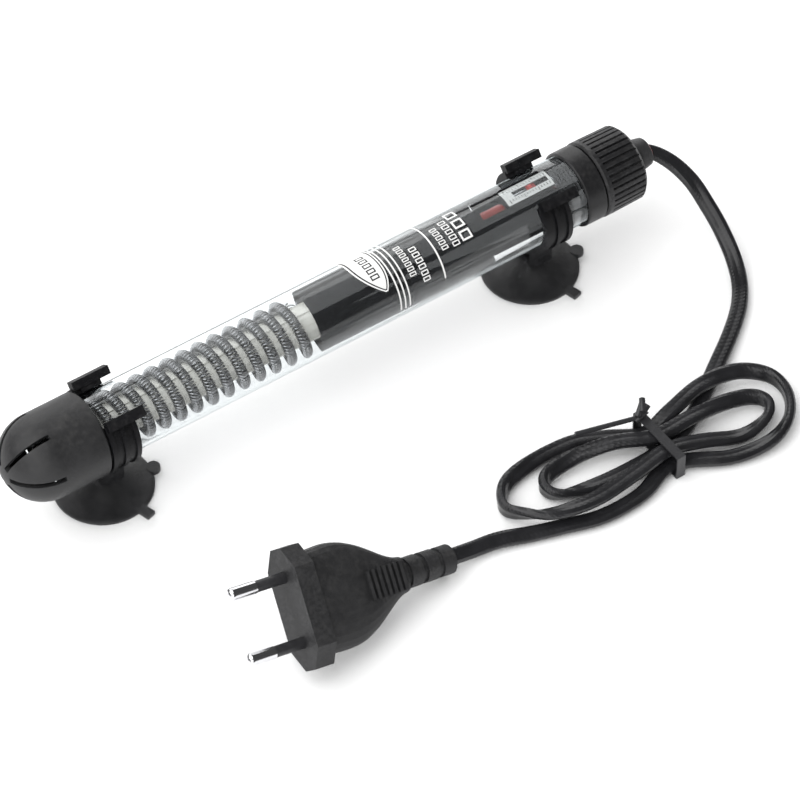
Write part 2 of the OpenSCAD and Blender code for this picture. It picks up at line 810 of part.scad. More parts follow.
module plug_body() {
    bell_len = -flange_l - bell_end;
    stations = 16;
    bell = [for (k = [0:stations])
        let (f = k / stations)
        let (ease = pow(max(0, (f - 0.18) / 0.82), 1.5))
        let (s = ease * ease * (3 - 2 * ease))
        bell_ring(bell_end + bell_len * (1 - f),
                  (bell_w + 0.9 * sin(180 * min(1, f / 0.5)) + (neck_w - bell_w) * s) / 2,
                  (bell_t + (neck_t - bell_t) * f) / 2)];
    fw = flange_w / 2;
    ft = flange_t / 2;
    color("#38383a")
    at_plug()
    difference() {
        union() {
            skin([for (k = [stations:-1:0]) bell[k]]);
            // flange with pointed ends
            translate([-flange_l, 0, 0])
            rotate([90, 0, 90])
            linear_extrude(flange_l)
            polygon([[fw, -flange_tip], [fw, flange_tip], [fw - flange_cut, ft],
                     [flange_cut - fw, ft], [-fw, flange_tip], [-fw, -flange_tip],
                     [flange_cut - fw, -ft], [fw - flange_cut, -ft]]);
            // grip ribs near the neck
            for (k = [0:grip_ribs - 1], side = [-1, 1])
                translate([bell_end + 2.2 + 2 * k, 0, side * (neck_t / 2 + 0.15 + 0.14 * k)])
                cube([1, 8.6, 1.5], center = true);
            // bend relief
            for (k = [0:boot_rings - 1])
                let (step = (bell_end - plug_boot_end) / boot_rings)
                translate([bell_end - step * (k + 1), 0, 0])
                rotate([0, 90, 0])
                cylinder(h = step * 0.72, r = 4.6 - 0.1 * k);
            plug_rod(plug_boot_end, bell_end + 1, 3.9);
        }
        for (side = [-1, 1]) {
            plug_rod(-pin_root - gap, 1, pin_core_r + gap, side * pin_pitch / 2);
            plug_rod(-1 - gap, 1, sleeve_r + gap, side * pin_pitch / 2);
        }
        plug_rod(plug_boot_end - 1, -33, plug_cord_bore_r);
    }
}

module plug_pins() {
    straight = pin_bare - 1.4;
    color("#c9ccd0")
    at_plug()
    for (side = [-1, 1]) {
        plug_rod(-pin_root, pin_len - pin_bare + 0.5, pin_core_r, side * pin_pitch / 2);
        translate([0, side * pin_pitch / 2, 0])
        rotate([0, 90, 0])
        rotate_extrude()
        polygon([[0, pin_len - pin_bare], [pin_r, pin_len - pin_bare],
                 [pin_r, pin_len - pin_bare + straight], [pin_r - 0.25, pin_len - 0.7],
                 [pin_r - 0.75, pin_len - 0.2], [pin_r - 1.3, pin_len], [0, pin_len]]);
    }
}

module pin_sleeves() {
    color("#262628")
    at_plug()
    for (side = [-1, 1])
        difference() {
            plug_rod(-1, pin_len - pin_bare - gap, sleeve_r, side * pin_pitch / 2);
            plug_rod(-2, pin_len, pin_core_r + gap, side * pin_pitch / 2);
        }
}

// ---------- clips and cups ----------

// Open clip that snaps over the tube, with finger bars on its tips and a foot for a cup
module clip(x) {
    half = clip_w / 2;
    step = half - clip_ridge_w;
    mid = clip_ridge_w / 2;
    mid_r = (clip_in_r + clip_out_r) / 2;
    // ridged band
    along_tube()
    translate([0, 0, x + band_shift])
    rotate_extrude(angle = 360 - clip_opening, start = 180 + clip_opening / 2)
    polygon([[clip_in_r, -half], [clip_ridge_r, -half], [clip_ridge_r, -step], [clip_out_r, -step],
             [clip_out_r, -mid], [clip_ridge_r, -mid], [clip_ridge_r, mid], [clip_out_r, mid],
             [clip_out_r, step], [clip_ridge_r, step], [clip_ridge_r, half], [clip_in_r, half]]);
    for (side = [-1, 1]) {
        // finger bar and the short arm that carries it
        translate([x + band_shift, side * tee_y, axis_z + tee_z])
        rotate([-side * arm_lean, 0, 0]) {
            translate([tee_shift - band_shift - tee_len / 2, -tee_w / 2, -tee_t / 2])
            cube([tee_len, tee_w, tee_t]);
            translate([-arm_w / 2, -arm_t / 2, -arm_l])
            cube([arm_w, arm_t, arm_l]);
        }
    }
    // foot: a floor with a hole for the cup's neck, between two walls
    difference() {
        translate([x - foot_l / 2, -foot_w / 2, foot_z])
        cube([foot_l, foot_w, axis_z - tube_r - foot_z + 2]);
        tube_rod(x - foot_l, x + foot_l, mid_r);
        translate([x - foot_l, foot_wall - foot_w / 2, foot_z + foot_t])
        cube([2 * foot_l, foot_w - 2 * foot_wall, axis_z]);
        translate([x, 0, foot_z - 1])
        cylinder(h = foot_t + 2, r = neck_r + run_gap);
    }
}

module tip_clip() {
    color("#333335") clip(0);
}

module head_clip() {
    color("#333335") clip(clip_gap);
}

// Suction cup: thin dish, body, neck and button
module cup(x) {
    body_z = foot_z - 0.15;
    neck_top = foot_z + foot_t + 0.15;
    edge_z = cup_lip + 0.5;
    dish_h = body_z - cup_body_h - edge_z;
    dish = [for (i = [0:cup_steps])
        let (f = i / cup_steps)
        [cup_r - 1 - (cup_r - 1 - cup_body_r) * f, edge_z + dish_h * pow(f, cup_curve)]];
    hollow = [for (i = [0:cup_steps])
        let (f = i / cup_steps)
        [(cup_r - 0.9) * f, cup_hollow_h * (1 - f * f)]];
    translate([x, 0, 0]) {
        rotate_extrude()
        polygon(concat(hollow, [[cup_r, 0], [cup_r, cup_lip]], dish,
                       [[cup_body_r, body_z - 0.4], [cup_body_r - 0.4, body_z], [neck_r, body_z],
                        [neck_r, neck_top], [button_r, neck_top], [button_r, neck_top + 0.9],
                        [button_r - 1.1, neck_top + button_h], [0, neck_top + button_h]]));
        // pull tabs
        rotate(round_tab_angle)
        translate([cup_r + 0.6, 0, 0])
        cylinder(h = tab_t, r = tab_r);
        rotate(tab_angle)
        translate([cup_r - 1, -1.5, 0])
        cube([4.6, 3, 1.2]);
    }
}

module tip_cup() {
    color("#3c3c3f") cup(0);
}

module head_cup() {
    color("#3c3c3f") cup(clip_gap);
}

end_cap();
glass_tube();
ceramic_former();
former_discs();
heating_coil();
return_lead();
feed_lead();
liner_sleeve();
thermostat_frame();
bimetal_strip();
strip_pivot_pin();
moving_contact();
contact_bracket();
fixed_contact();
snap_magnet();
adjusting_spindle();
spindle_pinion();
temperature_pointer();
indicator_lamp();
lamp_resistor();
scale_card();
supply_wires();
tube_stopper();
head_cap();
spindle_o_ring();
knob();
knob_retaining_ring();
cord_boot();
power_cord();
cord_tie();
plug_body();
plug_pins();
pin_sleeves();
tip_clip();
head_clip();
tip_cup();
head_cup();
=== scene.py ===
import json
import math

import bpy
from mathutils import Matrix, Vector

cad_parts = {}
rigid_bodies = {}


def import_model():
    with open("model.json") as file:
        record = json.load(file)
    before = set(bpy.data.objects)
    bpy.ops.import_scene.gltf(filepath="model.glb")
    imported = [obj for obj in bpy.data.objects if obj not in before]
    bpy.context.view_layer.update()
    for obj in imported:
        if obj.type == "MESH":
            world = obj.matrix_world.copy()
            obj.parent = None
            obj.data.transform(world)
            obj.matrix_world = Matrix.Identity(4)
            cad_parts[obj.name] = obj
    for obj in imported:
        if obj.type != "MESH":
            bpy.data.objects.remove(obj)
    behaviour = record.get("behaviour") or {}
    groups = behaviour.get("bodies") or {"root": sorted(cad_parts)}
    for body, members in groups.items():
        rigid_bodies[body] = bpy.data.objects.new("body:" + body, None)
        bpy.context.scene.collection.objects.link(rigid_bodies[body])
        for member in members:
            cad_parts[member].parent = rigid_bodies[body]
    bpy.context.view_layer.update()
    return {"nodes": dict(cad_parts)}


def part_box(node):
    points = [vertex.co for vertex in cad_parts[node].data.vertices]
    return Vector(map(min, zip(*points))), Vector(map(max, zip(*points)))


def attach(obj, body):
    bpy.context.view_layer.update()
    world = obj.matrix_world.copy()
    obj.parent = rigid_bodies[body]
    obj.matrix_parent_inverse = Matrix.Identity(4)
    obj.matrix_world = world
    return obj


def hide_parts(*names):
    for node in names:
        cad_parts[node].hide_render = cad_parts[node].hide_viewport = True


# Looks of a submersible aquarium heater: glass tube, coil, thermostat, knob, clips, cord and plug.
# Lengths in this script are millimetres; MM turns them into the frame's metres.

for leftover in list(bpy.data.objects):
    bpy.data.objects.remove(leftover)
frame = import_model()

MM = 0.001
NODES = frame["nodes"]
SCENE = bpy.context.scene


def node_box(name):
    """Lowest and highest corner of a CAD node in millimetres."""
    low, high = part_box(name)
    return low / MM, high / MM


glass_low, glass_high = node_box("glass_tube")
TUBE_R = (glass_high.y - glass_low.y) / 2
AXIS_Z = (glass_high.z + glass_low.z) / 2
GLASS_WALL = 1.2
BORE_R = TUBE_R - GLASS_WALL


# ---------- materials ----------

# Places of the colour sockets on Blender's Mix node.
MIX_COLOUR_A, MIX_COLOUR_B, MIX_COLOUR_OUT = 6, 7, 2


class Shader:
    """A node material built up from small pieces; numbers or sockets are accepted as inputs."""

    def __init__(self, name):
        self.material = bpy.data.materials.new(name)
        self.material.use_nodes = True
        self.tree = self.material.node_tree
        self.tree.nodes.clear()
        self.output = self.tree.nodes.new("ShaderNodeOutputMaterial")
        self.coords = self.tree.nodes.new("ShaderNodeTexCoord").outputs["Object"]

    def link(self, value, socket):
        """Feeds a socket with another socket, a number or a colour; None leaves its default."""
        if isinstance(value, bpy.types.NodeSocket):
            self.tree.links.new(value, socket)
        elif value is not None:
            if hasattr(value, "__len__") and len(value) == 3 and len(socket.default_value) == 4:
                value = (*value, 1)
            socket.default_value = value

    def add(self, kind, inputs=None, **settings):
        """A new shader node with its inputs fed and its settings made."""
        node = self.tree.nodes.new("ShaderNode" + kind)
        for key, value in settings.items():
            setattr(node, key, value)
        for key, value in (inputs or {}).items():
            self.link(value, node.inputs[key])
        return node

    def noise(self, per_mm, detail=4, roughness=0.55, at=None):
        """Cloudy pattern from 0 to 1 with a given number of features per millimetre."""
        inputs = {"Vector": at or self.coords, "Scale": per_mm / MM,
                  "Detail": detail, "Roughness": roughness}
        return self.add("TexNoise", inputs).outputs["Fac"]

    def stretched(self, x, y, z):
        """Object coordinates scaled along each axis, for streaks."""
        return self.add("Mapping", {"Vector": self.coords, "Scale": (x, y, z)}).outputs["Vector"]

    def ramp(self, value, low, high, out_low=0.0, out_high=1.0):
        """Maps a value from low..high to out_low..out_high, clamped."""
        inputs = {"Value": value, "From Min": low, "From Max": high,
                  "To Min": out_low, "To Max": out_high}
        return self.add("MapRange", inputs).outputs["Result"]

    def maths(self, operation, a, b=0.0):
        node = self.add("Math", operation=operation)
        self.link(a, node.inputs[0])
        self.link(b, node.inputs[1])
        return node.outputs[0]

    def mix(self, share, a, b):
        """Colour a turning into colour b by share."""
        node = self.add("Mix", {"Factor": share}, data_type="RGBA")
        self.link(a, node.inputs[MIX_COLOUR_A])
        self.link(b, node.inputs[MIX_COLOUR_B])
        return node.outputs[MIX_COLOUR_OUT]

    def bump(self, height, depth_mm, strength=1.0, onto=None):
        """Surface relief of a given depth, on top of another relief if one is given."""
        inputs = {"Height": height, "Distance": depth_mm * MM, "Strength": strength}
        if onto is not None:
            inputs["Normal"] = onto
        return self.add("Bump", inputs).outputs["Normal"]

    def edges(self):
        """1 on convex edges, 0 on flat stretches."""
        return self.ramp(self.add("NewGeometry").outputs["Pointiness"], 0.52, 0.6)

    def upward(self):
        """1 where the surface faces up, 0 on walls and undersides."""
        normal = self.add("NewGeometry").outputs["Normal"]
        return self.ramp(self.add("SeparateXYZ", {"Vector": normal}).outputs["Z"], 0.2, 1.0)

    def surface(self, shader_node):
        """Ends the material in a shader node."""
        self.tree.links.new(shader_node.outputs[0], self.output.inputs["Surface"])
        return self.material

    def finish(self, **inputs):
        """Ends the material in a Principled shader; inputs are its sockets, _ for a space."""
        names = {key.replace("_", " "): value for key, value in inputs.items()}
        return self.surface(self.add("BsdfPrincipled", names))


def shade(tone, factor, lift=0.0):
    """A darker or lighter version of a colour."""
    return [min(1, c * factor + lift) for c in tone]


DUST = (0.30, 0.29, 0.27)
RUBBER_BLOOM = (0.20, 0.20, 0.205)
CORD_SCUFF = (0.09, 0.09, 0.095)
METAL_TARNISH = (0.3, 0.27, 0.22)
NEON = (1.0, 0.10, 0.04)


def black_plastic(name, tone, rough=0.42, grain=9.0, grain_depth=0.02, dust=0.06, wear=0.35,
                  shine=0.34):
    """Moulded black plastic: spark-textured skin, rubbed edges, a trace of dust on top."""
    s = Shader(name)
    cloud = s.noise(0.12, 5)
    fine = s.noise(grain, 3, 0.7)
    rubbed = s.maths("MULTIPLY", s.edges(), s.ramp(s.noise(0.9, 4), 0.4, 0.65, 0, wear))
    dusty = s.maths("MULTIPLY", s.upward(), s.ramp(s.noise(0.5, 6, 0.65), 0.45, 0.75, 0, dust))
    base = s.mix(s.ramp(cloud, 0.3, 0.7), shade(tone, 0.82), shade(tone, 1.15))
    base = s.mix(rubbed, base, shade(tone, 2.4, 0.02))
    base = s.mix(dusty, base, DUST)
    uneven = s.ramp(cloud, 0.3, 0.7, rough - 0.05, rough + 0.07)
    gloss = s.maths("ADD", uneven, s.maths("MULTIPLY", dusty, 0.9))
    skin = s.bump(fine, grain_depth, 0.5, s.bump(s.noise(0.35, 2), 0.05, 0.25))
    return s.finish(Base_Color=base, Roughness=gloss, Normal=skin, Specular_IOR_Level=shine)


def rubber(name, tone, rough=0.5, bloom=0.16):
    """Soft black rubber with a greyish bloom, slightly uneven surface and sheen."""
    s = Shader(name)
    cloud = s.noise(0.18, 6, 0.6)
    base = s.mix(s.ramp(cloud, 0.35, 0.7, 0, bloom), tone, RUBBER_BLOOM)
    base = s.mix(s.maths("MULTIPLY", s.edges(), 0.25), base, shade(tone, 2, 0.02))
    gloss = s.ramp(s.noise(0.6, 5), 0.3, 0.7, rough - 0.08, rough + 0.12)
    skin = s.bump(s.noise(4.5, 4, 0.6), 0.02, 0.45, s.bump(s.noise(0.25, 2), 0.12, 0.3))
    return s.finish(Base_Color=base, Roughness=gloss, Normal=skin, Specular_IOR_Level=0.4,
                    Sheen_Weight=0.08, Sheen_Roughness=0.5)


def cord_pvc():
    """Flexible PVC: satin skin with faint drawing lines and scuffs."""
    s = Shader("cord_pvc")
    cloud = s.noise(0.15, 5)
    scuff = s.ramp(s.noise(1.4, 8, 0.75), 0.6, 0.74, 0, 0.35)
    base = s.mix(s.ramp(cloud, 0.3, 0.7), (0.009, 0.009, 0.010), (0.017, 0.017, 0.019))
    base = s.mix(scuff, base, CORD_SCUFF)
    gloss = s.maths("ADD", s.ramp(cloud, 0.3, 0.7, 0.24, 0.34), s.maths("MULTIPLY", scuff, 0.5))
    skin = s.bump(s.noise(3.0, 4, 0.6), 0.025, 0.5, s.bump(s.noise(0.3, 3), 0.1, 0.3))
    return s.finish(Base_Color=base, Roughness=gloss, Normal=skin, Specular_IOR_Level=0.5)


def metal(name, tone, rough=0.25, streak=(1.0, 12.0, 12.0), tarnish=0.25, dull=METAL_TARNISH):
    """Drawn or turned metal with fine streaks and patchy tarnish."""
    s = Shader(name)
    lines = s.noise(1.2, 6, 0.7, s.stretched(*streak))
    patch = s.ramp(s.noise(0.35, 6, 0.65), 0.45, 0.75, 0, tarnish)
    clean = s.mix(s.ramp(lines, 0.35, 0.65), shade(tone, 0.85), tone)
    base = s.mix(patch, clean, dull)
    streaky = s.ramp(lines, 0.3, 0.7, rough * 0.7, rough * 1.4)
    gloss = s.maths("ADD", streaky, s.maths("MULTIPLY", patch, 0.4))
    return s.finish(Base_Color=base, Metallic=1.0, Roughness=gloss, Normal=s.bump(lines, 0.01, 0.5))


def ceramic(name, tone, rough=0.7):
    """Unglazed ceramic: chalky grain with specks."""
    s = Shader(name)
    speck = s.ramp(s.noise(2.6, 6, 0.7), 0.6, 0.72, 0, 0.35)
    base = s.mix(speck, s.mix(s.noise(0.2, 4), tone, shade(tone, 0.86)), shade(tone, 0.55))
    gloss = s.ramp(s.noise(1.5, 4), 0.3, 0.7, rough - 0.1, rough + 0.15)
    skin = s.bump(s.noise(3.5, 6, 0.65), 0.04, 0.6)
    return s.finish(Base_Color=base, Roughness=gloss, Normal=skin)


def plain_plastic(name, tone, rough=0.35):
    """Small coloured moulding with faint flow marks."""
    s = Shader(name)
    flow = s.noise(0.6, 4, 0.6, s.stretched(1, 3, 3))
    base = s.mix(s.ramp(flow, 0.3, 0.7), shade(tone, 0.85), shade(tone, 1.1))
    gloss = s.ramp(s.noise(1.6, 4), 0.3, 0.7, rough - 0.06, rough + 0.1)
    skin = s.bump(s.noise(4, 3), 0.015, 0.5)
    return s.finish(Base_Color=base, Roughness=gloss, Normal=skin)


def printed_ink(name, tone):
    """Screen-printed ink: slightly uneven cover with pinholes."""
    s = Shader(name)
    worn = s.ramp(s.noise(3.2, 6, 0.7), 0.3, 0.45)
    base = s.mix(worn, shade(tone, 0.72), tone)
    gloss = s.ramp(worn, 0, 1, 0.65, 0.45)
    return s.finish(Base_Color=base, Roughness=gloss, Normal=s.bump(worn, 0.01, 0.5))


def paper_scale():
    """Card with a faint fibre texture."""
    s = Shader("scale_white")
    fibre = s.noise(2.4, 6, 0.7, s.stretched(1, 2.5, 2.5))
    base = s.mix(s.ramp(fibre, 0.3, 0.7), (0.40, 0.40, 0.39), (0.50, 0.50, 0.49))
    return s.finish(Base_Color=base, Roughness=0.7, Normal=s.bump(fibre, 0.015, 0.5))


def clear_glass():
    """Clear drawn glass: refracts for the camera, lets light and mirrored rays straight in."""
    s = Shader("quartz_glass")
    waves = s.noise(0.08, 3, 0.5, s.stretched(0.25, 1, 1))
    skin = s.bump(waves, 0.04, 0.12)
    smear = s.ramp(s.noise(0.35, 6, 0.7), 0.5, 0.8, 0.0, 0.012)
    rim = s.ramp(s.add("LayerWeight", {"Blend": 0.5}).outputs["Facing"], 0.7, 1.0)
    tint = s.mix(rim, (0.98, 0.99, 0.993), (0.62, 0.66, 0.67))
    glass = s.add("BsdfGlass", {"Color": tint, "Roughness": smear, "IOR": 1.47, "Normal": skin})
    clear = s.add("BsdfTransparent", {"Color": (0.96, 0.975, 0.98)})
    path = s.add("LightPath")
    glossy, sent_through = path.outputs["Is Glossy Ray"], path.outputs["Is Transmission Ray"]
    mirrored = s.maths("GREATER_THAN", s.maths("SUBTRACT", glossy, sent_through), 0.5)
    through = s.maths("MAXIMUM", path.outputs["Is Shadow Ray"], path.outputs["Is Diffuse Ray"])
    both = s.add("MixShader", {"Fac": s.maths("MAXIMUM", through, mirrored)})
    s.tree.links.new(glass.outputs[0], both.inputs[1])
    s.tree.links.new(clear.outputs[0], both.inputs[2])
    return s.surface(both)


def lamp_glass():
    """Red-tinted lamp glass with a weak neon glow inside."""
    s = Shader("lamp_glass")
    glow = s.ramp(s.noise(0.7, 3), 0.3, 0.7, 0.02, 0.06)
    tint = s.mix(s.noise(0.9, 3), (0.30, 0.05, 0.05), (0.42, 0.09, 0.08))
    gloss = s.ramp(s.noise(2, 3), 0.3, 0.7, 0.08, 0.2)
    return s.finish(Base_Color=tint, Roughness=gloss, Transmission_Weight=0.55, IOR=1.5,
                    Emission_Color=NEON, Emission_Strength=glow,
                    Normal=s.bump(s.noise(1.2, 2), 0.03, 0.4))


def floor_paper():
    """Pale studio paper with slow changes of tone."""
    s = Shader("studio_floor")
    base = s.mix(s.noise(0.002, 3), (0.86, 0.86, 0.86), (0.88, 0.88, 0.88))
    skin = s.bump(s.noise(0.5, 3), 0.05, 0.1)
    return s.finish(Base_Color=base, Roughness=0.75, Specular_IOR_Level=0.2, Normal=skin)


WIRE_TARNISH = (0.12, 0.11, 0.10)

# One recipe per material slot of the CAD nodes: maker, tone, then what differs from its defaults.
RECIPES = {
    "guard_plastic": (black_plastic, (0.020, 0.020, 0.021), dict(rough=0.46)),
    "former_ceramic": (ceramic, (0.78, 0.76, 0.71), {}),
    "disc_mica": (ceramic, (0.26, 0.23, 0.18), dict(rough=0.55)),
    "resistance_wire": (metal, (0.42, 0.42, 0.43),
                        dict(rough=0.34, streak=(1, 1, 1), tarnish=0.3, dull=WIRE_TARNISH)),
    "nickel_lead": (metal, (0.66, 0.66, 0.68), dict(rough=0.3)),
    "liner_black": (black_plastic, (0.010, 0.010, 0.011),
                    dict(rough=0.5, dust=0.0, wear=0.1, shine=0.15)),
    "frame_plastic": (black_plastic, (0.010, 0.010, 0.011), dict(rough=0.5, dust=0.0, shine=0.15)),
    "bimetal": (metal, (0.62, 0.50, 0.33), dict(rough=0.3)),
    "plain_steel": (metal, (0.60, 0.61, 0.63), dict(rough=0.28)),
    "contact_silver": (metal, (0.82, 0.82, 0.84), dict(rough=0.15)),
    "bracket_brass": (metal, (0.78, 0.58, 0.26), dict(rough=0.28)),
    "magnet_iron": (metal, (0.22, 0.22, 0.23), dict(rough=0.45)),
    "pinion_nylon": (plain_plastic, (0.80, 0.78, 0.71), {}),
    "pointer_red": (plain_plastic, (0.36, 0.03, 0.025), {}),
    "resistor_ceramic": (ceramic, (0.66, 0.52, 0.32), dict(rough=0.5)),
    "wire_insulation": (plain_plastic, (0.42, 0.05, 0.035), {}),
    "stopper_rubber": (rubber, (0.022, 0.022, 0.024), {}),
    "head_plastic": (black_plastic, (0.012, 0.012, 0.013), dict(rough=0.38)),
    "seal_rubber": (rubber, (0.015, 0.015, 0.016), {}),
    "knob_plastic": (black_plastic, (0.013, 0.013, 0.014), dict(rough=0.40, wear=0.5)),
    "spring_steel": (metal, (0.52, 0.53, 0.55), {}),
    "boot_rubber": (rubber, (0.011, 0.011, 0.012), {}),
    "tie_plastic": (plain_plastic, (0.024, 0.024, 0.026), dict(rough=0.3)),
    "seal_red": (rubber, (0.20, 0.012, 0.010), dict(rough=0.45, bloom=0.1)),
    "plug_plastic": (black_plastic, (0.017, 0.017, 0.018),
                     dict(rough=0.5, grain=5.0, grain_depth=0.04)),
    "pin_nickel": (metal, (0.80, 0.80, 0.82), dict(rough=0.14, streak=(3, 3, 3), tarnish=0.12)),
    "sleeve_plastic": (black_plastic, (0.022, 0.022, 0.024), dict(rough=0.36)),
    "clip_plastic": (black_plastic, (0.005, 0.005, 0.006), dict(rough=0.46, shine=0.18)),
    "cup_rubber": (rubber, (0.009, 0.009, 0.010), dict(rough=0.46, bloom=0.06)),
}
MATERIALS = {name: make(name, tone, **changes) for name, (make, tone, changes) in RECIPES.items()}
MATERIALS["quartz_glass"] = clear_glass()
MATERIALS["lamp_glass"] = lamp_glass()
MATERIALS["scale_white"] = paper_scale()
MATERIALS["cord_pvc"] = cord_pvc()
# Grey of the dark sheet inside the glass beside the thermostat: painted shade.
SHADE_FILM_GREY = plain_plastic("shade_film_grey", (0.03, 0.03, 0.032), 0.6)
INK_WHITE = printed_ink("ink_white", (0.74, 0.74, 0.73))
INK_BLACK = printed_ink("ink_black", (0.02, 0.02, 0.022))


# ---------- CAD nodes ----------


WELD_GAP = 0.002
FLAT_ANGLE = 0.6
BEVEL_SEGMENTS = 3


def weld(node):
    """Joins the split corners of a CAD node's facets."""
    node.modifiers.new("join", "WELD").merge_threshold = WELD_GAP * MM


def soften(name, width_mm, angle=32):
    """Rounds a CAD node's sharp edges without touching its own mesh."""
    node = NODES[name]
    weld(node)
    flat = node.modifiers.new("flat", "DECIMATE")
    flat.decimate_type = "DISSOLVE"
    flat.angle_limit = math.radians(FLAT_ANGLE)
    bevel = node.modifiers.new("edges", "BEVEL")
    bevel.width = width_mm * MM
    bevel.segments = BEVEL_SEGMENTS
    bevel.limit_method = "ANGLE"
    bevel.angle_limit = math.radians(angle)
    bevel.use_clamp_overlap = True
    node.modifiers.new("shade", "WEIGHTED_NORMAL").keep_sharp = True


def smooth_cord():
    """Rounds the facets of the flexible cord."""
    cord = NODES["power_cord"]
    weld(cord)
    subdivision = cord.modifiers.new("round", "SUBSURF")
    subdivision.levels = 1
    subdivision.render_levels = 1


def dress_nodes():
    """Gives every CAD node its procedural material by its slot."""
    for node in NODES.values():
        names = [m.name.split(".")[0] for m in node.data.materials]
        slot = next(n for n in names if n in MATERIALS)
        for material_slot in node.material_slots:
            material_slot.link = "OBJECT"
            material_slot.material = MATERIALS[slot]


dress_nodes()
EDGES = {
    "end_cap": 0.3, "head_cap": 0.35, "knob": 0.16, "tip_clip": 0.35, "head_clip": 0.35,
    "tip_cup": 0.25, "head_cup": 0.25, "cord_boot": 0.3, "plug_pins": 0.1, "pin_sleeves": 0.12,
    "cord_tie": 0.2, "thermostat_frame": 0.12, "temperature_pointer": 0.1, "tube_stopper": 0.2,
}
for edge_name, edge_width in EDGES.items():
    soften(edge_name, edge_width)
soften("plug_body", 0.5, angle=40)
smooth_cord()


# ---------- new pieces ----------


def mesh_piece(name, vertices, faces, material, body, smooth=True):
    """A mesh piece from points in millimetres, riding on a body."""
    mesh = bpy.data.meshes.new(name)
    mesh.from_pydata([Vector(v) * MM for v in vertices], [], faces)
    mesh.validate()
    piece = bpy.data.objects.new(name, mesh)
    SCENE.collection.objects.link(piece)
    mesh.materials.append(material)
    for polygon in mesh.polygons:
        polygon.use_smooth = smooth
    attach(piece, body)
    return piece


def tube_mesh(path, radius, sides):
    """Points and faces of a round wire along a path of points."""
    vertices, faces = [], []
    last = len(path) - 1
    normal = Vector((0, 0, 1))
    for i, point in enumerate(path):
        along = (path[min(i + 1, last)] - path[max(i - 1, 0)]).normalized()
        normal = (normal - along * normal.dot(along)).normalized()
        across = along.cross(normal)
        for k in range(sides):
            a = 2 * math.pi * k / sides
            vertices.append(point + (normal * math.cos(a) + across * math.sin(a)) * radius)
    for i in range(last):
        for k in range(sides):
            n = (k + 1) % sides
            faces.append((i * sides + k, i * sides + n, (i + 1) * sides + n, (i + 1) * sides + k))
    faces.append(tuple(reversed(range(sides))))
    faces.append(tuple(last * sides + k for k in range(sides)))
    return vertices, faces


def lathe(name, profile, sides, material, body):
    """Smooth solid of revolution about the tube's axis, from a closed (x, radius) outline."""
    vertices, rings = [], []
    for x, radius in profile:
        if radius == 0:
            rings.append([len(vertices)])
            vertices.append((x, 0, AXIS_Z))
        else:
            rings.append(list(range(len(vertices), len(vertices) + sides)))
            for k in range(sides):
                a = 2 * math.pi * k / sides
                vertices.append((x, radius * math.cos(a), AXIS_Z + radius * math.sin(a)))
    faces = []
    for here, after in zip(rings, rings[1:] + rings[:1]):
        if len(here) == 1 and len(after) == 1:
            continue
        for k in range(sides):
            n = (k + 1) % sides
            if len(here) == 1:
                faces.append((here[0], after[k], after[n]))
            elif len(after) == 1:
                faces.append((here[n], here[k], after[0]))
            else:
                faces.append((here[n], here[k], after[k], after[n]))
    return mesh_piece(name, vertices, faces, material, body)


TIP_STEPS = 20
TUBE_SIDES = 160
RIM_CHAMFER = 0.1


def clear_tube():
    """The glass tube as one smooth wall, closed and rounded at the tip."""
    tip_x = glass_low.x + TUBE_R
    end_x = glass_high.x
    arc = [math.pi / 2 * k / TIP_STEPS for k in range(TIP_STEPS)]

    def dome(radius, angles):
        return [(tip_x - radius * math.sin(a), radius * math.cos(a)) for a in angles]

    outer = dome(TUBE_R, arc) + [(glass_low.x, 0)]
    inner = [(tip_x - BORE_R, 0)] + dome(BORE_R, reversed(arc))
    rim = [(end_x - RIM_CHAMFER, BORE_R), (end_x, BORE_R + RIM_CHAMFER),
           (end_x, TUBE_R - RIM_CHAMFER), (end_x - RIM_CHAMFER, TUBE_R)]
    tube = lathe("clear_glass_tube", outer + inner + rim, TUBE_SIDES, MATERIALS["quartz_glass"],
                 "heater")
    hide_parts("glass_tube")


clear_tube()

COIL_TURNS = 13.5
FINE_TURNS = 50  # turns of the fine coil in one turn around the former
FINE_STEPS = 12
FINE_R = 1.55
WIRE_R = 0.25
WIRE_SIDES = 6


def coiled_element():
    """The heating wire: a fine coil that is itself wound around the former."""
    low, high = node_box("heating_coil")
    reach = FINE_R + WIRE_R
    major = (high.y - low.y) / 2 - reach
    x0, x1 = low.x + reach, high.x - reach
    steps = int(COIL_TURNS * FINE_TURNS * FINE_STEPS)
    path = []
    for i in range(steps + 1):
        t = i / steps
        a = math.pi + 2 * math.pi * COIL_TURNS * t
        f = 2 * math.pi * COIL_TURNS * FINE_TURNS * t
        x = x0 + (x1 - x0) * t + FINE_R * math.sin(f)
        r = major + FINE_R * math.cos(f)
        path.append(Vector((x, r * math.cos(a), AXIS_Z + r * math.sin(a))))
    vertices, faces = tube_mesh(path, WIRE_R, WIRE_SIDES)
    coil = mesh_piece("heating_coil_wire", vertices, faces, MATERIALS["resistance_wire"], "heater")
    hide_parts("heating_coil")


coiled_element()


def on_tube(x, degrees, radius):
    """Point on a cylinder about the tube's axis; 0 degrees is the top, 90 the near side."""
    a = math.radians(degrees)
    return Vector((x, -radius * math.sin(a), AXIS_Z + radius * math.cos(a)))


# The print's layers lie close together, inside the bore of the sliding clip.
INK = 0.005
INK_GAP = 0.003
INK_LAYER = 0.007
BAND_STEP = 1.5


